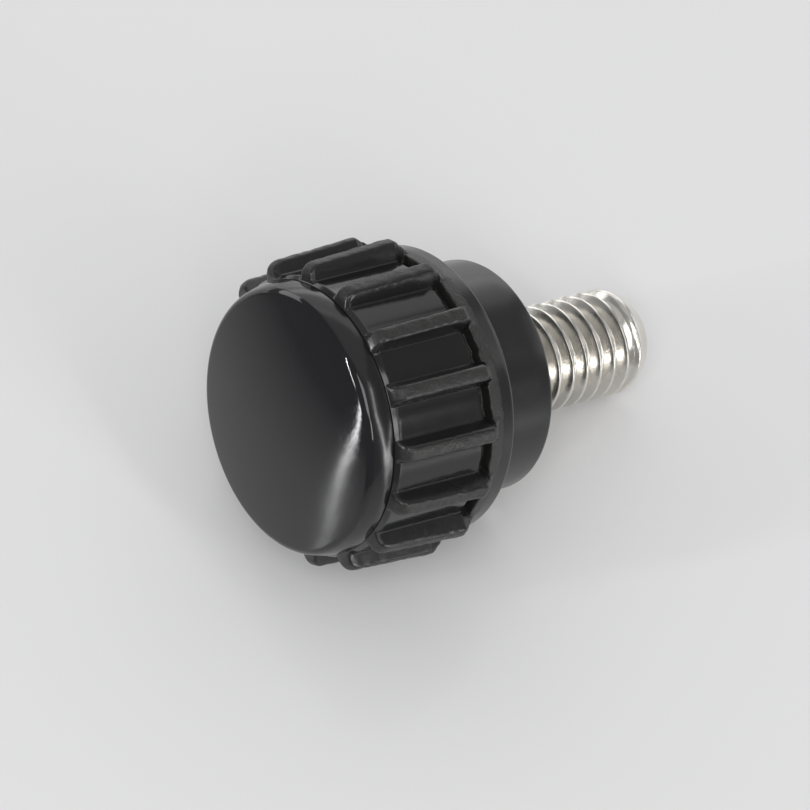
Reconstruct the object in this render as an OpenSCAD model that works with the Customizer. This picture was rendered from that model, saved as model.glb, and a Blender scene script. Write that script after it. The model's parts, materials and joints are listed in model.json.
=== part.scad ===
/* [Face] */
// radius of the polished face's slight dome
face_curve_r = 40; // [30:5:120]
// rounding of the face's outer edge
face_edge_r = 0.55; // [0.3:0.05:0.7]

/* [Rim] */
// drop from the valley floors down to the rim
rim_drop = 0.2; // [0.1:0.02:0.3]
// height of the rim, face edge to seam
rim_h = 1.4; // [1.2:0.05:1.6]
// radius of the rim's rounded wall
rim_curve_r = 2.7; // [2.2:0.1:6]

/* [Seam] */
// width of the seam line behind the rim
seam_w = 0.08; // [0.06:0.01:0.1]
// depth of the seam line below the rim
seam_depth = 0.12; // [0.08:0.01:0.16]

/* [Ribs] */
// number of grip ribs
rib_count = 16; // [12:1:18]
// diameter across the crests at their rear ends
rib_d = 17.72; // [16:0.02:20]
// width of a crest at its rear end
rib_crest_w = 0.8; // [0.6:0.05:1]
// slope of a rib's sides, in degrees
rib_flank = 11; // [5:1:20]
// taper of the crests towards the face, in degrees
rib_taper = 3.3; // [1:0.1:4]
// distance of the crests' rear ends from the face edge
rib_end = 7.25; // [6.6:0.05:7.4]
// gap between the seam line and the ribs' front ends
rib_gap = 0.1; // [0.1:0.02:0.3]
// radius of the rounded nose of a rib
rib_nose = 0.6; // [0.3:0.05:0.7]
// slope of the bevelled rear end of a rib, in degrees
rib_tail = 40; // [32:1:50]

/* [Valleys] */
// depth of the valley floors below the crests' rear ends, measured at the seam
valley_depth = 1.12; // [1:0.02:1.3]
// length of the bevelled front edge of the valley floors
valley_lead = 0.3; // [0.2:0.05:0.5]
// taper of the valley floors towards the face, in degrees
valley_taper = 0.6; // [0:0.1:1]
// distance of the valleys' rear walls from the face edge
valley_end = 7.7; // [7.5:0.05:8]
// width of the recess at a valley's rear wall
recess_w = 0.45; // [0.2:0.05:0.6]
// depth of the recess below the valley floor
recess_depth = 0.35; // [0.1:0.05:0.5]

/* [Shoulder] */
// step from the valley floors, at the seam, up to the plain shoulder's front
shoulder_step = 0.36; // [0.3:0.02:0.5]
// taper of the shoulder towards the stud, in degrees
shoulder_taper = 4; // [3:0.5:6]
// distance of the shoulder's rear edge from the face edge
shoulder_end = 9.4; // [9:0.1:9.6]
// rounding of the shoulder's rear edge
shoulder_edge_r = 0.3; // [0.2:0.05:0.5]

/* [Hub] */
// diameter of the plain hub
hub_d = 12.9; // [12.4:0.1:13]
// height of the hub behind the shoulder
hub_h = 4; // [3:0.1:4.2]
// rounding of the hub's rear edge
hub_edge_r = 0.3; // [0.2:0.05:0.6]

/* [Stud] */
// nominal diameter of the thread
stud_d = 6; // [5:0.5:6]
// length of the stud outside the hub
stud_out = 10.4; // [10:0.2:16]
// distance between two turns of the thread
thread_pitch = 1; // [0.9:0.05:1.1]
// depth of the thread
thread_depth = 0.56; // [0.4:0.02:0.6]
// width of the thread's flat crest
thread_crest_w = 0.13; // [0.1:0.01:0.15]
// shortest plain neck between the hub and the first turn
neck_w = 0.5; // [0.4:0.1:1]
// extra radius of the plain shank inside the head
shank_step = 0.2; // [0.2:0.05:0.5]
// diameter of the stud's end face
tip_d = 4.8; // [3.6:0.1:4.9]
// length of the bevel at the stud's end
tip_bevel = 1; // [0.5:0.1:1.2]

/* [Anchor] */
// width across the flats of the moulded-in hexagon
anchor_af = 10; // [8:0.5:10.5]
// height of the moulded-in hexagon
anchor_h = 4; // [3:0.5:4.5]
// length of plain shank between the hexagon and the hub's rear face
anchor_depth = 6; // [5:0.5:6.5]

/* [Hidden] */
head_color = [0.03, 0.03, 0.033];
steel_color = [0.72, 0.71, 0.69];
$fn = 96;

rib_r = rib_d / 2;
valley_r = rib_r - valley_depth;
rim_r = valley_r - rim_drop;
shoulder_r = valley_r + shoulder_step;
hub_r = hub_d / 2;
stud_r = stud_d / 2;
shank_r = stud_r + shank_step;
root_r = stud_r - thread_depth;
tip_r = tip_d / 2;

rim_c = rim_r - rim_curve_r;
rim_lean = asin((rim_h - face_edge_r) / (rim_curve_r - face_edge_r));
edge_r0 = rim_c + (rim_curve_r - face_edge_r) * cos(rim_lean);
dome_z = face_edge_r + sqrt(pow(face_curve_r - face_edge_r, 2) - pow(edge_r0, 2));
dome_edge = edge_r0 * face_curve_r / (face_curve_r - face_edge_r);
rim_t = [edge_r0 + face_edge_r * cos(rim_lean), face_edge_r * (1 - sin(rim_lean))];

valley_z = rim_h + valley_lead;
recess_z = valley_end - recess_w;
valley_r2 = valley_r + (recess_z - valley_z) * tan(valley_taper);
recess_r = valley_r2 - recess_depth;
shoulder_r2 = shoulder_r - (shoulder_end - valley_end) * tan(shoulder_taper);
seat_z = shoulder_end + hub_h;

rib_start = rim_h + rib_gap;
rib_x = sqrt(pow(rib_r, 2) - pow(rib_crest_w / 2, 2));
rib_sink = 0.1;
rib_over = 1;
rib_root = valley_r - rib_over;
rib_top = rib_r + rib_over;
nose_z = rib_start + rib_nose;
nose_r = rib_r - (rib_end - nose_z) * tan(rib_taper);
tail_r = shoulder_r2 - rib_sink;
tail_z = rib_end + (rib_r - tail_r) / tan(rib_tail);

anchor_z = seat_z - anchor_depth - anchor_h;
tip_z = seat_z + stud_out;
bevel_z = tip_z - tip_bevel;
thread_angle = 60;
flank_w = thread_depth * tan(thread_angle / 2);
thread_turns = floor((bevel_z - thread_crest_w - flank_w - neck_w - seat_z) / thread_pitch) + 1;

half_step = 180 / rib_count;
rest_r = rib_x * cos(half_step) + rib_crest_w / 2 * sin(half_step);
rest_tilt = atan((rest_r - stud_r) / (bevel_z - rib_end));
rest_lift = rib_end * sin(rest_tilt) + rest_r * cos(rest_tilt);
rest_near = edge_r0 * sin(rest_tilt) - face_edge_r * cos(rest_tilt) + face_edge_r;
rest_far = tip_z * cos(rest_tilt) + tip_r * sin(rest_tilt);
rest_shift = (rest_near - rest_far) / 2;

module at_rest() {
  translate([rest_shift, 0, rest_lift])
    rotate([0, 90 + rest_tilt, 0])
      children();
}

module rounded_corner(r, z, radius) {
  translate([r - radius, z - radius])
    circle(radius);
}

module face_profile() {
  intersection() {
    translate([0, dome_z])
      circle(face_curve_r);
    translate([0, -face_edge_r])
      square([dome_edge, 2 * face_edge_r]);
  }
  translate([edge_r0, face_edge_r])
    circle(face_edge_r);
}

module rim_profile() {
  intersection() {
    translate([rim_c, rim_h])
      circle(rim_curve_r);
    translate([0, rim_t[1]])
      square([rim_r, rim_h - rim_t[1]]);
  }
}

module body_profile() {
  polygon([
    [0, face_edge_r / 2],
    [edge_r0, face_edge_r / 2],
    rim_t,
    [rim_r, rim_h],
    [valley_r, valley_z],
    [valley_r2, recess_z],
    [recess_r, recess_z],
    [recess_r, valley_end],
    [shoulder_r, valley_end],
    [shoulder_r2, shoulder_end - shoulder_edge_r],
    [shoulder_r2 - shoulder_edge_r, shoulder_end],
    [hub_r, shoulder_end],
    [hub_r, seat_z - hub_edge_r],
    [hub_r - hub_edge_r, seat_z],
    [0, seat_z]
  ]);
}

module seam_profile() {
  polygon([
    [rim_r + seam_depth, rim_h - seam_w],
    [rim_r + seam_depth, rim_h + seam_w],
    [rim_r - seam_depth, rim_h]
  ]);
}

module head_core() {
  rotate_extrude()
    difference() {
      union() {
        face_profile();
        rim_profile();
        body_profile();
        rounded_corner(shoulder_r2, shoulder_end, shoulder_edge_r);
        rounded_corner(hub_r, seat_z, hub_edge_r);
      }
      seam_profile();
    }
}

module rib_blank() {
  root_w = rib_crest_w / 2 + (rib_x - rib_root) * tan(rib_flank);
  top_w = rib_crest_w / 2 + (rib_x - rib_top) * tan(rib_flank);
  translate([0, 0, rib_start])
    linear_extrude(tail_z - rib_start)
      polygon([
        [rib_root, -root_w],
        [rib_top, -top_w],
        [rib_top, top_w],
        [rib_root, root_w]
      ]);
}

module rib_envelope() {
  rotate_extrude() {
    polygon([
      [0, rib_start],
      [nose_r - rib_nose, rib_start],
      [nose_r, nose_z],
      [rib_r, rib_end],
      [tail_r, tail_z],
      [0, tail_z]
    ]);
    translate([nose_r - rib_nose, nose_z])
      circle(rib_nose);
  }
}

module ribs() {
  intersection() {
    rib_envelope();
    for (i = [0 : rib_count - 1])
      rotate([0, 0, (2 * i + 1) * half_step])
        rib_blank();
  }
}

module thread_groove(z) {
  polygon([
    [root_r, z + flank_w],
    [stud_r, z],
    [shank_r, z],
    [shank_r, z + thread_pitch - thread_crest_w],
    [stud_r, z + thread_pitch - thread_crest_w],
    [root_r, z + thread_pitch - thread_crest_w - flank_w]
  ]);
}

module thread_neck() {
  first_z = bevel_z - (thread_turns - 1) * thread_pitch - thread_crest_w;
  polygon([
    [root_r, seat_z],
    [shank_r, seat_z],
    [shank_r, first_z],
    [stud_r, first_z],
    [root_r, first_z - flank_w]
  ]);
}

module stud_profile() {
  polygon([
    [0, anchor_z + anchor_h / 2],
    [shank_r, anchor_z + anchor_h / 2],
    [shank_r, seat_z],
    [stud_r, seat_z],
    [stud_r, bevel_z],
    [tip_r, tip_z],
    [0, tip_z]
  ]);
}

module stud_solid() {
  translate([0, 0, anchor_z])
    linear_extrude(anchor_h)
      circle(d = anchor_af / cos(30), $fn = 6);
  rotate_extrude()
    difference() {
      stud_profile();
      thread_neck();
      for (i = [1 : thread_turns - 1])
        thread_groove(bevel_z - i * thread_pitch);
    }
}

module knob_head() {
  color(head_color)
    at_rest()
      difference() {
        union() {
          head_core();
          ribs();
        }
        stud_solid();
      }
}

module threaded_stud() {
  color(steel_color)
    at_rest()
      stud_solid();
}

knob_head();
threaded_stud();
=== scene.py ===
import json
import math

import bmesh
import bpy
import numpy as np
from mathutils import Matrix, Vector, noise


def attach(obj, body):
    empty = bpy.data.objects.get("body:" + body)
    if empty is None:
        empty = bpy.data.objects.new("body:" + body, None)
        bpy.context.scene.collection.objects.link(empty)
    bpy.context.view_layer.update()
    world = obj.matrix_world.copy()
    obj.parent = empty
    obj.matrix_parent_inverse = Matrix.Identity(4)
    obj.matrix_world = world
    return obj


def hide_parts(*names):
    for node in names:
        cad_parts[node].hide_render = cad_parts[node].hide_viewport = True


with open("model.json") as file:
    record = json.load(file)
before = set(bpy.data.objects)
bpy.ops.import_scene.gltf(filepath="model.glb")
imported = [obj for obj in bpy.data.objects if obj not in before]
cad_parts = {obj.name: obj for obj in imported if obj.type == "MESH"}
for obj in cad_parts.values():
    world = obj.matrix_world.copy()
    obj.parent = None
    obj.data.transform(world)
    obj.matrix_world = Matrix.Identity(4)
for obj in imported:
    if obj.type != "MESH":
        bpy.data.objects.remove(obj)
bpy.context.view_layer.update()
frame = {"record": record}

# The knob's own lengths are in millimetres: z runs along its axis from the face's edge to the stud's end,
# and r is the distance from that axis. All other lengths are in metres.
MM = 0.001

# Head, as in the solids.
FACE_CURVE_R, FACE_EDGE_R = 40.0, 0.55
RIM_R, RIM_H, RIM_CURVE_R = 7.54, 1.4, 2.7
SEAM_W, SEAM_DEPTH = 0.08, 0.12
VALLEY_R, VALLEY_R2, VALLEY_LEAD = 7.74, 7.8, 0.3
RECESS_Z, RECESS_R, VALLEY_END = 7.25, 7.45, 7.7
SHOULDER_R, SHOULDER_R2, SHOULDER_END = 8.1, 7.98, 9.4
HUB_R, SEAT_Z = 6.45, 13.4
RIB_COUNT, RIB_START, RIB_END = 16, 1.5, 7.25
RIB_NOSE_R, RIB_R, RIB_NOSE = 8.56, 8.86, 0.6
RIB_TAIL_SLOPE = 40.0
RIB_CREST_W, RIB_BASE_W = 0.8, 1.22

# Stud, as in the solids, but with the thread as a helix that runs out before the stud's end.
STUD_R, TIP_R, BEVEL_Z, TIP_Z = 3.0, 2.4, 22.8, 23.8
NECK_END, FIRST_TURN = 14.35, 14.67
PITCH, THREAD_DEPTH, CREST_FLAT, ROOT_FLAT = 1.0, 0.56, 0.13, 0.2
THREAD_PHASE = 0.28
RUNOUT_START, RUNOUT_END = TIP_Z - 1.7, TIP_Z - 0.9

# Roundings of edges and corners.
SEAM_LIP_R, SEAM_ROOT_R, SEAM_BACK_R = 0.05, 0.02, 0.03
LEAD_R, RECESS_LIP_R, RECESS_FOOT_R = 0.2, 0.04, 0.06
SHOULDER_LIP_R, SHOULDER_EDGE_R = 0.09, 0.28
HUB_FOOT_R, HUB_EDGE_R = 0.12, 0.3
RIB_EDGE_R, RIB_FOOT_R, RIB_END_R = 0.3, 0.1, 0.35
THREAD_ROOT_R, THREAD_CREST_R = 0.06, 0.05
NECK_EDGE_R, BEVEL_EDGE_R, TIP_EDGE_R = 0.1, 0.8, 0.25

# Small offsets: the lean of steep walls, where the rim's curve stops before the seam, how far a rib's crest
# runs on and its tail sinks in, and the radii where the head ends inside the stud and where its side begins.
WALL_LEAN, NOSE_LEAN, RIM_STOP = 0.05, 0.02, 1.2 * SEAM_W
CREST_PAST_END, TAIL_SINK = 0.05, 0.2
BORE_R, SIDE_FROM_R = STUD_R - 0.8, HUB_R + 0.5

# Ragged flash at both ends of the recess, and the uneven skin of the ribs.
FLASH, FLASH_FRONT_W, FLASH_REAR_W = 0.13, 0.12, 0.15
RAGGED_SCALE, RAGGED_FINE_SCALE, RAGGED_FINE_SHARE = 28, 70, 0.6
SKIN, SKIN_SCALE, SKIN_FROM_H = 0.045, 2.6, 0.1

# Polish of the moulding, from 0 for matte to 1 for glossy. A rib is matte from RIB_MATTE_H upwards, apart from
# its sides, which end at RIB_SIDE_TOP of its height. The matte strip behind the recess has a ragged end.
FACE_POLISH, RIM_POLISH, VALLEY_POLISH, RECESS_POLISH = 1.0, 0.65, 0.75, 0.0
SHOULDER_POLISH, HUB_POLISH, RIB_SIDE_POLISH = 0.45, 0.38, 0.35
RIB_MATTE_H, RIB_SIDE_TOP = 1 / 6, 0.97
MATTE_END, MATTE_SOFT, MATTE_RAGGED = 8.45, 0.1, 0.15
ZONE_MARGIN = 0.02

# Density of the meshes: numbers of rows and columns, the longest distances between them, where the rows get
# wider, where the stud's end takes over from the thread, and the distance at which points are welded.
FACE_ROWS, EDGE_ROWS, RIM_ROWS, STUD_COLUMNS = 14, 12, 10, 145
NOSE_STEP, RIB_STEP, PLAIN_STEP, SECTION_STEP, THREAD_STEP = 0.06, 0.13, 0.8, 0.28, 0.09
NOSE_ROWS_END, RIB_ROWS_END = RIB_START + 1.2 * RIB_NOSE, RIB_END + 1.3
END_ROWS_START, END_FLAT_START = TIP_Z - 0.02, TIP_Z - 0.001
WELD = 0.0005

# Colours, roughness, bump and grain. A grain's number is its scale, and a pair runs from matte to glossy
# plastic, or over the range of a grain.
MATTE_BLACK, GLOSS_BLACK = (0.014, 0.014, 0.013, 1), (0.007, 0.007, 0.0085, 1)
PLASTIC_IOR, PLASTIC_ROUGH, PLASTIC_UNEVEN, PLASTIC_MOTTLE = 1.52, (0.38, 0.05), (-0.02, 0.02), 900
FINE_BUMP, FINE_DEPTH, FINE_GRAIN = (0.8, 0.02), 7e-5, 8000
RIPPLE_BUMP, RIPPLE_DEPTH, RIPPLE_GRAIN = (0.5, 0.08), 6e-6, 5000
BUMP_FADED = 0.4
STEEL_DARK, STEEL_PALE, STEEL_TINT_GRAIN = (0.72, 0.69, 0.635, 1), (0.8, 0.78, 0.735, 1), 1600
STEEL_ROUGH, STEEL_MOTTLE = (0.19, 0.26), 2600
STEEL_BUMP, STEEL_DEPTH, STEEL_GRAIN = 0.1, 4e-5, 5200
TABLE_GREY, TABLE_ROUGH, TABLE_MOTTLE, SHEEN_ROUGH = (0.71, 0.71, 0.715, 1), (0.14, 0.17), 300, 0.04
TABLE_BUMP, TABLE_DEPTH, TABLE_GRAIN = 0.3, 1e-5, 5000

# Table: on the left it fades out just outside the picture.
FLOOR_LEFT, FLOOR_LEFT_END, FLOOR_REACH = 0.026, 0.07, 0.4

# Room: its plain light, how bright mirrors show it, and the backdrop that the camera sees.
WHITE, BACKDROP_GREY = (1, 1, 1, 1), (0.68, 0.68, 0.685, 1)
ROOM_LIGHT, ROOM_MIRRORED, BACKDROP_LIGHT = 0.5, 0.26, 1.0
PANEL_DISTANCE, NEAR_DISTANCE = 0.6, 0.5

# Camera, at the photograph's viewing angle.
CAMERA_AIM = Vector((-2.956, -0.541, 7.557)) * MM
CAMERA_DISTANCE = 272.25 * MM
CAMERA_BEARING, CAMERA_ELEVATION, CAMERA_ROLL = -126.69, 56.66, -5.83
FOCAL_PX, IMAGE_PX, SENSOR_W = 5000.0, 810.0, 36.0
CLIP_START, CLIP_END = 0.01, 10.0


def placed(origin, x, y, z):
    """The matrix of a frame with this origin and these axes."""
    return Matrix.Translation(origin) @ Matrix((x, y, z)).transposed().to_4x4()


def knob_matrix():
    """Places the knob's own axis and millimetres in the row frame, from the stud's mount."""
    mounts = {m["name"]: m for m in frame["record"]["mounts"]}
    axis = Vector(mounts["stud"]["axis"]).normalized()
    on_axis = Vector(mounts["stud"]["pos_m"])
    past_seat = axis.dot(on_axis - Vector(mounts["seat"]["pos_m"]))
    face_edge = on_axis - axis * (past_seat + SEAT_Z * MM)
    side = Vector((0, 1, 0))
    return placed(face_edge, side.cross(axis), side, axis) @ Matrix.Scale(MM, 4)


def smooth_step(x, low, high):
    """Rises smoothly from 0 at low to 1 at high."""
    t = np.clip((x - low) / (high - low), 0, 1)
    return t * t * (3 - 2 * t)


def arc(z, r, radius, first, last, steps):
    """Points of an arc round (z, r), by the lean of its outward normal from the face's own direction."""
    lean = np.linspace(first, last, steps)
    return np.stack([z - radius * np.cos(lean), r + radius * np.sin(lean)], axis=1)


def rounded_path(corners, steps=5):
    """A polyline through (x, y, radius) corners, each rounded by an arc of that radius."""
    nearly_straight = math.pi / 2 - 0.01
    path = [np.array(corners[0][:2], float)]
    for before, corner, after in zip(corners, corners[1:], corners[2:]):
        a, p, b = (np.array(c[:2], float) for c in (before, corner, after))
        u, v = (a - p) / np.linalg.norm(a - p), (b - p) / np.linalg.norm(b - p)
        half = math.acos(np.clip(u @ v, -1, 1)) / 2
        radius = corner[2]
        if radius <= 0 or half > nearly_straight:
            path.append(p)
            continue
        reach = radius / math.tan(half)
        middle = (u + v) / np.linalg.norm(u + v)
        centre = p + middle * radius / math.sin(half)
        start, end = p + u * reach - centre, p + v * reach - centre
        sweep = math.pi - 2 * half
        for t in np.arange(steps + 1) / steps:
            spoke = math.sin((1 - t) * sweep) * start + math.sin(t * sweep) * end
            path.append(centre + spoke / math.sin(sweep))
    path.append(np.array(corners[-1][:2], float))
    return np.array(path)


def subdivided(path, longest):
    """The same polyline with no segment longer than longest(x)."""
    points = [path[0]]
    for a, b in zip(path, path[1:]):
        n = max(1, math.ceil(np.linalg.norm(b - a) / longest((a[0] + b[0]) / 2)))
        points += [a + (b - a) * k / n for k in range(1, n + 1)]
    return np.array(points)


def build_mesh(name, rings, matrix, closed=True, polish=None):
    """A mesh object from rings[i, j] = point, joined along i and around j, with equal points welded."""
    rows, columns = rings.shape[:2]
    index = np.arange(rows * columns).reshape(rows, columns)
    after = np.roll(index, -1, axis=1)
    faces = np.stack([index[:-1], after[:-1], after[1:], index[1:]], axis=-1)
    if not closed:
        faces = faces[:, :-1]
    mesh = bpy.data.meshes.new(name)
    mesh.from_pydata(rings.reshape(-1, 3).tolist(), [], faces.reshape(-1, 4).tolist())
    if polish is not None:
        mesh.attributes.new("polish", "FLOAT", "POINT").data.foreach_set("value", polish.ravel())
    welded = bmesh.new()
    welded.from_mesh(mesh)
    bmesh.ops.remove_doubles(welded, verts=welded.verts, dist=WELD)
    welded.to_mesh(mesh)
    welded.free()
    mesh.transform(matrix)
    mesh.polygons.foreach_set("use_smooth", [True] * len(mesh.polygons))
    mesh.update()
    piece = bpy.data.objects.new(name, mesh)
    bpy.context.scene.collection.objects.link(piece)
    return piece


def head_row_step(z):
    """Longest distance between two rows of the head's mesh at z."""
    if RIM_H < z < NOSE_ROWS_END:
        return NOSE_STEP
    return RIB_STEP if z < RIB_ROWS_END else PLAIN_STEP


def head_profile():
    """Outline (z, r) of the head between its ribs, from the face's middle to the bore."""
    rim_lean = math.acos((RIM_H - FACE_EDGE_R) / (RIM_CURVE_R - FACE_EDGE_R))
    rim_end = math.acos(RIM_STOP / RIM_CURVE_R)
    edge_r = RIM_R - RIM_CURVE_R + (RIM_CURVE_R - FACE_EDGE_R) * math.sin(rim_lean)
    face_lean = math.asin(edge_r / (FACE_CURVE_R - FACE_EDGE_R))
    dome_z = FACE_EDGE_R + (FACE_CURVE_R - FACE_EDGE_R) * math.cos(face_lean)
    face = np.concatenate([
        arc(dome_z, 0, FACE_CURVE_R, 0, face_lean, FACE_ROWS),
        arc(FACE_EDGE_R, edge_r, FACE_EDGE_R, face_lean, rim_lean, EDGE_ROWS)[1:],
        arc(RIM_H, RIM_R - RIM_CURVE_R, RIM_CURVE_R, rim_lean, rim_end, RIM_ROWS)[1:],
    ])
    outline = rounded_path([
        (face[-1, 0], face[-1, 1], 0),
        (RIM_H - SEAM_W / 2, RIM_R, SEAM_LIP_R),
        (RIM_H, RIM_R - SEAM_DEPTH, SEAM_ROOT_R),
        (RIM_H + SEAM_W / 2, RIM_R + SEAM_W / 4, SEAM_BACK_R),
        (RIM_H + VALLEY_LEAD, VALLEY_R, LEAD_R),
        (RECESS_Z, VALLEY_R2, RECESS_LIP_R),
        (RECESS_Z + WALL_LEAN, RECESS_R, RECESS_FOOT_R),
        (VALLEY_END - WALL_LEAN, RECESS_R, RECESS_FOOT_R),
        (VALLEY_END, SHOULDER_R, SHOULDER_LIP_R),
        (SHOULDER_END, SHOULDER_R2, SHOULDER_EDGE_R),
        (SHOULDER_END, HUB_R, HUB_FOOT_R),
        (SEAT_Z, HUB_R, HUB_EDGE_R),
        (SEAT_Z, BORE_R, 0),
    ])
    return np.concatenate([face, subdivided(outline, head_row_step)[1:]])


def rib_height_line():
    """Outline (z, r) along the middle of a rib's crest."""
    tail_drop = RIB_R - SHOULDER_R + TAIL_SINK
    tail_end = RIB_END + tail_drop / math.tan(math.radians(RIB_TAIL_SLOPE))
    return rounded_path([
        (RIB_START - NOSE_LEAN, RIM_R, 0),
        (RIB_START + NOSE_LEAN, RIB_NOSE_R, RIB_NOSE),
        (RIB_END + CREST_PAST_END, RIB_R, RIB_END_R),
        (tail_end, SHOULDER_R - TAIL_SINK, 0),
    ])


def rib_columns():
    """The turn of each column of the head's mesh, and its share of a rib's height, 0 in a valley."""
    height = RIB_R - VALLEY_R2
    step = 2 * math.pi / RIB_COUNT
    half = rounded_path([
        (0, height, 0),
        (RIB_CREST_W / 2, height, RIB_EDGE_R),
        (RIB_BASE_W / 2, 0, RIB_FOOT_R),
        (step / 2 * VALLEY_R, 0, 0),
    ], steps=4)
    half = subdivided(half, lambda y: SECTION_STEP)
    turn, share = half[:, 0] / (VALLEY_R + half[:, 1]), half[:, 1] / height
    turn = np.concatenate([-turn[:0:-1], turn[:-1]])
    share = np.concatenate([share[:0:-1], share[:-1]])
    turns = np.concatenate([turn + (k + 0.5) * step for k in range(RIB_COUNT)])
    return turns, np.tile(share, RIB_COUNT)


def head_polish(z, on_side, ragged, rib, share):
    """Polish of the head's points: zones along z, the matte strip with its ragged end, and the ribs."""
    zones = [
        (z < FACE_EDGE_R / 2, FACE_POLISH),
        (z < RIM_H + ZONE_MARGIN, RIM_POLISH),
        (z < RECESS_Z + ZONE_MARGIN, VALLEY_POLISH),
        (z < VALLEY_END, RECESS_POLISH),
        (on_side, SHOULDER_POLISH),
    ]
    where, values = zip(*zones)
    polish = np.select(where, values, HUB_POLISH)[:, None]
    strip_z = z[:, None] - MATTE_RAGGED * ragged[None, :]
    past_strip = smooth_step(strip_z, MATTE_END - MATTE_SOFT, MATTE_END + MATTE_SOFT)
    polish = np.where((z > VALLEY_END - ZONE_MARGIN)[:, None], polish * past_strip, polish)
    polish = polish * (1 - np.clip(rib / RIB_MATTE_H, 0, 1))
    rib_side = (rib > SKIN_FROM_H) & (share < RIB_SIDE_TOP)[None, :]
    return np.where(rib_side, RIB_SIDE_POLISH, polish)


def build_head(matrix):
    """The moulding: a turned profile with ribs raised on its side, ragged flash and an uneven skin."""
    profile_z, profile_r = head_profile().T
    turns, share = rib_columns()
    crest_z, crest_r = rib_height_line().T
    on_side = (profile_z > RIB_START) & (profile_r > SIDE_FROM_R)
    tall = np.interp(profile_z, crest_z, crest_r, left=0, right=0)
    rib = np.where(on_side, np.maximum(tall - profile_r, 0), 0)[:, None] * share[None, :]

    around = [Vector((math.cos(t), math.sin(t), 0)) for t in turns]
    ragged = np.array([
        noise.noise(v * RAGGED_SCALE) + RAGGED_FINE_SHARE * noise.noise(v * RAGGED_FINE_SCALE)
        for v in around
    ])
    torn = np.exp(-((profile_z - RECESS_Z) / FLASH_FRONT_W) ** 2)
    torn = torn + np.exp(-((profile_z - VALLEY_END) / FLASH_REAR_W) ** 2)
    z = profile_z[:, None] + FLASH * (torn * on_side)[:, None] * (ragged * (1 - share))[None, :]

    radius = profile_r[:, None] + rib
    rings = np.stack([radius * np.cos(turns), radius * np.sin(turns), z], axis=-1)
    raised = rib > SKIN_FROM_H
    skin = np.array([noise.noise(Vector(point) * SKIN_SCALE) for point in rings[raised]])
    rings[raised, :2] *= 1 + SKIN * skin[:, None] / radius[raised][:, None]
    polish = head_polish(profile_z, on_side, ragged, rib, share)
    return build_mesh("head_moulding", rings, matrix, polish=polish)


def thread_turn():
    """Outline (z, r) of one pitch of the thread, root to root, with z from 0 to PITCH."""
    flank = (PITCH - CREST_FLAT - ROOT_FLAT) / 2
    low, high = STUD_R - THREAD_DEPTH, STUD_R
    path = rounded_path([
        (0, low, 0),
        (ROOT_FLAT / 2, low, THREAD_ROOT_R),
        (ROOT_FLAT / 2 + flank, high, THREAD_CREST_R),
        (ROOT_FLAT / 2 + flank + CREST_FLAT, high, THREAD_CREST_R),
        (PITCH - ROOT_FLAT / 2, low, THREAD_ROOT_R),
        (PITCH, low, 0),
    ], steps=4)
    return subdivided(path, lambda x: THREAD_STEP)


def build_stud(matrix):
    """The screw: a helical thread, kept within the outline of the neck, the bevel and the flat end."""
    turn = thread_turn()[:-1]
    first = SEAT_Z - 2 * PITCH
    count = math.ceil((TIP_Z - first) / PITCH) + 1
    rows = np.concatenate([turn + (first + k * PITCH, 0) for k in range(count)])
    rows = rows[rows[:, 0] < END_ROWS_START]
    outline = rounded_path([
        (first, STUD_R - THREAD_DEPTH, 0),
        (NECK_END, STUD_R - THREAD_DEPTH, 0),
        (FIRST_TURN, STUD_R, NECK_EDGE_R),
        (BEVEL_Z, STUD_R, BEVEL_EDGE_R),
        (TIP_Z, TIP_R, TIP_EDGE_R),
        (TIP_Z, 0, 0),
    ], steps=10)
    turns = np.linspace(0, 2 * math.pi, STUD_COLUMNS)
    lead = PITCH * (turns / (2 * math.pi) + THREAD_PHASE)
    runout = 1 - smooth_step(rows[:, :1], RUNOUT_START, RUNOUT_END)
    z = rows[:, :1] + (lead[None, :] - PITCH) * runout
    side = outline[outline[:, 0] < END_FLAT_START]
    limit = np.interp(z, side[:, 0], side[:, 1])
    radius = np.minimum(STUD_R - (STUD_R - rows[:, 1:]) * runout, limit)
    end = outline[outline[:, 0] >= END_ROWS_START]
    z = np.concatenate([z, np.repeat(end[:, :1], len(turns), axis=1)])
    radius = np.concatenate([radius, np.repeat(end[:, 1:], len(turns), axis=1)])
    rings = np.stack([radius * np.cos(turns), radius * np.sin(turns), z], axis=-1)
    return build_mesh("stud_thread", rings, matrix, closed=False)


class Nodes:
    """A shader node tree, with short ways to add nodes. Inputs are named with underscores for spaces."""

    def __init__(self, tree):
        self.tree = tree

    def feed(self, socket, value):
        """Links a socket to another node's output, or sets it to a plain value."""
        if hasattr(value, "links"):
            self.tree.links.new(value, socket)
        else:
            socket.default_value = value

    def fill(self, node, **inputs):
        for key, value in inputs.items():
            self.feed(node.inputs[key.replace("_", " ")], value)
        return node

    def add(self, kind, settings=None, **inputs):
        made = self.tree.nodes.new("ShaderNode" + kind)
        for key, value in (settings or {}).items():
            setattr(made, key, value)
        return self.fill(made, **inputs)

    def mix_shaders(self, factor, first, second):
        """Shows the first shader where factor is 0 and the second where it is 1."""
        made = self.add("MixShader", Fac=factor)
        self.feed(made.inputs[1], first)
        self.feed(made.inputs[2], second)
        return made.outputs[0]


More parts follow.
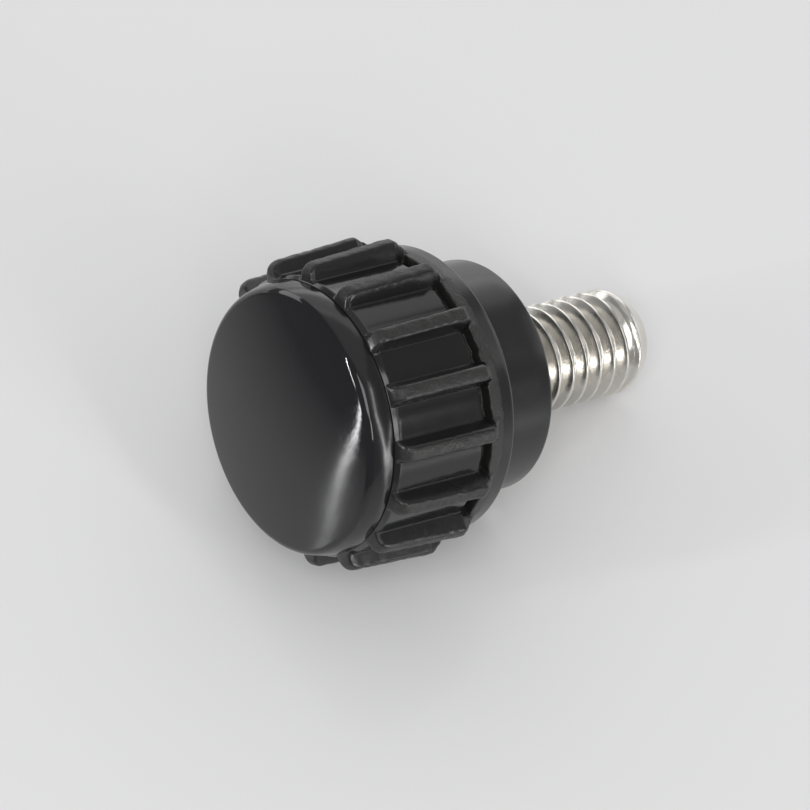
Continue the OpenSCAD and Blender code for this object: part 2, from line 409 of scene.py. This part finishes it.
class Paint(Nodes):
    """A material whose procedural detail is laid out in the object's own space."""

    def __init__(self, name):
        self.material = bpy.data.materials.new(name)
        self.material.use_nodes = True
        super().__init__(self.material.node_tree)
        self.shader = self.tree.nodes["Principled BSDF"]
        self.place = self.add("TexCoord").outputs["Object"]

    def grain(self, scale, detail=3.0):
        return self.add("TexNoise", Vector=self.place, Scale=scale, Detail=detail).outputs["Fac"]

    def spread(self, value, low, high, start=0.3, end=0.7):
        """Takes a value from the range start to end over to the range low to high."""
        made = self.add("MapRange", Value=value, From_Min=start, From_Max=end, To_Min=low, To_Max=high)
        return made.outputs["Result"]

    def mix_colours(self, factor, first, second):
        made = self.add("Mix", {"data_type": "RGBA"}, Factor=factor, A=first, B=second)
        return made.outputs["Result"]

    def bump(self, strength, depth, height, **inputs):
        made = self.add("Bump", Strength=strength, Distance=depth, Height=height, **inputs)
        return made.outputs["Normal"]


def paint_plastic():
    """Black plastic, from matte and grained to smooth and glossy by the polish stored in the mesh."""
    paint = Paint("black_moulded_plastic")
    polish = paint.add("Attribute", {"attribute_name": "polish"}).outputs["Fac"]
    rough = paint.add("Math", {"operation": "ADD"})
    paint.feed(rough.inputs[0], paint.spread(polish, *PLASTIC_ROUGH, 0.0, 1.0))
    paint.feed(rough.inputs[1], paint.spread(paint.grain(PLASTIC_MOTTLE), *PLASTIC_UNEVEN))
    fine_strength = paint.spread(polish, *FINE_BUMP, 0.0, BUMP_FADED)
    fine = paint.bump(fine_strength, FINE_DEPTH, paint.grain(FINE_GRAIN))
    ripple_strength = paint.spread(polish, *RIPPLE_BUMP, 0.0, BUMP_FADED)
    ripple = paint.bump(ripple_strength, RIPPLE_DEPTH, paint.grain(RIPPLE_GRAIN, detail=1.0), Normal=fine)
    tint = paint.mix_colours(polish, MATTE_BLACK, GLOSS_BLACK)
    paint.fill(paint.shader, Base_Color=tint, IOR=PLASTIC_IOR, Roughness=rough.outputs[0], Normal=ripple)
    return paint.material


def paint_steel():
    """Bright stainless steel with a slight grain."""
    paint = Paint("stainless_steel")
    tint = paint.mix_colours(paint.grain(STEEL_TINT_GRAIN), STEEL_DARK, STEEL_PALE)
    rough = paint.spread(paint.grain(STEEL_MOTTLE), *STEEL_ROUGH)
    fine = paint.bump(STEEL_BUMP, STEEL_DEPTH, paint.grain(STEEL_GRAIN))
    paint.fill(paint.shader, Base_Color=tint, Metallic=1.0, Roughness=rough, Normal=fine)
    return paint.material


def paint_floor():
    """A pale, slightly glossy table that keeps only a sheen where it fades out on the left."""
    paint = Paint("pale_table")
    rough = paint.spread(paint.grain(TABLE_MOTTLE), *TABLE_ROUGH)
    fine = paint.bump(TABLE_BUMP, TABLE_DEPTH, paint.grain(TABLE_GRAIN))
    paint.fill(paint.shader, Base_Color=TABLE_GREY, Roughness=rough, Normal=fine)
    across = paint.add("SeparateXYZ", Vector=paint.place).outputs["X"]
    kept = paint.spread(across, 0.0, 1.0, -FLOOR_LEFT_END, -FLOOR_LEFT)
    clear = paint.add("BsdfTransparent").outputs[0]
    gloss = paint.add("BsdfGlossy", Roughness=SHEEN_ROUGH, Normal=fine).outputs[0]
    sheen = paint.mix_shaders(paint.add("Fresnel").outputs[0], clear, gloss)
    table = paint.mix_shaders(kept, sheen, paint.shader.outputs[0])
    paint.fill(paint.tree.nodes["Material Output"], Surface=table)
    return paint.material


def build_floor():
    """A flat table, turned so that its own X axis runs to the right as the camera sees it."""
    reach = FLOOR_REACH
    corners = [(-reach, -reach, 0), (reach, -reach, 0), (reach, reach, 0), (-reach, reach, 0)]
    mesh = bpy.data.meshes.new("table")
    mesh.from_pydata(corners, [], [(0, 1, 2, 3)])
    floor = bpy.data.objects.new("table", mesh)
    floor.rotation_euler.z = math.radians(CAMERA_BEARING + 90)
    bpy.context.scene.collection.objects.link(floor)
    floor.data.materials.append(paint_floor())


def studio_way(turn, elevation):
    """Direction from the part, with turn counted to the right from the camera's own bearing."""
    bearing, rise = math.radians(CAMERA_BEARING + turn), math.radians(elevation)
    return Vector((math.cos(rise) * math.cos(bearing), math.cos(rise) * math.sin(bearing), math.sin(rise)))


def area_light(name, width, height, radiance):
    """A rectangular lamp, whose power follows from its size so that radiance alone sets how bright it looks."""
    lamp = bpy.data.lights.new(name, "AREA")
    lamp.shape = "RECTANGLE"
    lamp.size, lamp.size_y = width, height
    lamp.energy = radiance * math.pi * width * height
    holder = bpy.data.objects.new(name, lamp)
    bpy.context.scene.collection.objects.link(holder)
    return holder


def add_panel(name, turn, elevation, size, radiance, distance=PANEL_DISTANCE):
    """A lamp in one direction from the part, which it faces."""
    way = studio_way(turn, elevation)
    holder = area_light(name, *size, radiance)
    holder.location = way * distance
    holder.rotation_euler = way.to_track_quat("Z", "Y").to_euler()


def add_bar(name, start, end, width, radiance):
    """A thin straight lamp between two directions from the part, each given as (turn, elevation)."""
    start, end = studio_way(*start), studio_way(*end)
    along, middle = (end - start) * NEAR_DISTANCE, (start + end) / 2
    x = along.normalized()
    z = (middle - x * middle.dot(x)).normalized()
    holder = area_light(name, along.length, width, radiance)
    holder.matrix_world = placed(middle * NEAR_DISTANCE, x, z.cross(x), z)


def add_world():
    """The room: plain light for the part, a dimmer one in mirrors and a pale backdrop for the camera."""
    world = bpy.data.worlds.new("studio")
    world.use_nodes = True
    sky = Nodes(world.node_tree)
    room = sky.fill(sky.tree.nodes["Background"], Color=WHITE, Strength=ROOM_LIGHT).outputs[0]
    dim = sky.add("Background", Color=WHITE, Strength=ROOM_MIRRORED).outputs[0]
    pale = sky.add("Background", Color=BACKDROP_GREY, Strength=BACKDROP_LIGHT).outputs[0]
    path = sky.add("LightPath")
    mirrored = sky.mix_shaders(path.outputs["Is Glossy Ray"], room, dim)
    seen = sky.mix_shaders(path.outputs["Is Camera Ray"], mirrored, pale)
    sky.fill(sky.tree.nodes["World Output"], Surface=seen)
    bpy.context.scene.world = world


def add_lamps():
    """Panels that light the part and the table, and bars whose mirror images are the streaks on the part."""
    add_panel("key", turn=-8, elevation=58, size=(0.24, 0.3), radiance=3.7)
    add_panel("front_lamp", turn=8, elevation=38, size=(0.12, 0.13), radiance=5)
    add_panel("overhead", turn=180, elevation=65, size=(0.7, 0.7), radiance=0.25)
    add_panel("back_panel", turn=182, elevation=24, size=(0.6, 0.45), radiance=0.66)
    add_panel("back_low", turn=182, elevation=6, size=(0.6, 0.12), radiance=1.1, distance=0.62)
    add_panel("side_right", turn=122, elevation=14, size=(0.36, 0.2), radiance=1.2)
    add_panel("side_left", turn=-130, elevation=14, size=(0.36, 0.2), radiance=2)
    add_panel("right_low", turn=58, elevation=4, size=(0.13, 0.11), radiance=7, distance=NEAR_DISTANCE)
    add_bar("left_strip", start=(-69, 3), end=(-69, 38), width=0.006, radiance=80)
    add_bar("right_upright", start=(54, 8), end=(54, 44), width=0.025, radiance=13)
    add_bar("right_bend", start=(55, 44), end=(80, 60), width=0.02, radiance=11)
    add_bar("right_slant", start=(64, 10), end=(81, 18), width=0.018, radiance=8)


def add_camera():
    """The photograph's camera, rolled a little about its line of sight."""
    back = studio_way(0, CAMERA_ELEVATION)
    level = Vector((0, 0, 1)).cross(back).normalized()
    up = back.cross(level)
    roll = math.radians(CAMERA_ROLL)
    rolled_level = level * math.cos(roll) - up * math.sin(roll)
    rolled_up = up * math.cos(roll) + level * math.sin(roll)
    data = bpy.data.cameras.new("photo_camera")
    data.sensor_width = SENSOR_W
    data.lens = SENSOR_W * FOCAL_PX / IMAGE_PX
    data.clip_start, data.clip_end = CLIP_START, CLIP_END
    camera = bpy.data.objects.new("photo_camera", data)
    camera.matrix_world = placed(CAMERA_AIM + back * CAMERA_DISTANCE, rolled_level, rolled_up, back)
    bpy.context.scene.collection.objects.link(camera)
    bpy.context.scene.camera = camera


bpy.context.scene.view_settings.view_transform = "Standard"
knob_to_row = knob_matrix()
head = build_head(knob_to_row)
head.data.materials.append(paint_plastic())
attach(head, "root")
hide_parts("knob_head")
stud = build_stud(knob_to_row)
stud.data.materials.append(paint_steel())
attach(stud, "root")
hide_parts("threaded_stud")
build_floor()
add_world()
add_lamps()
add_camera()
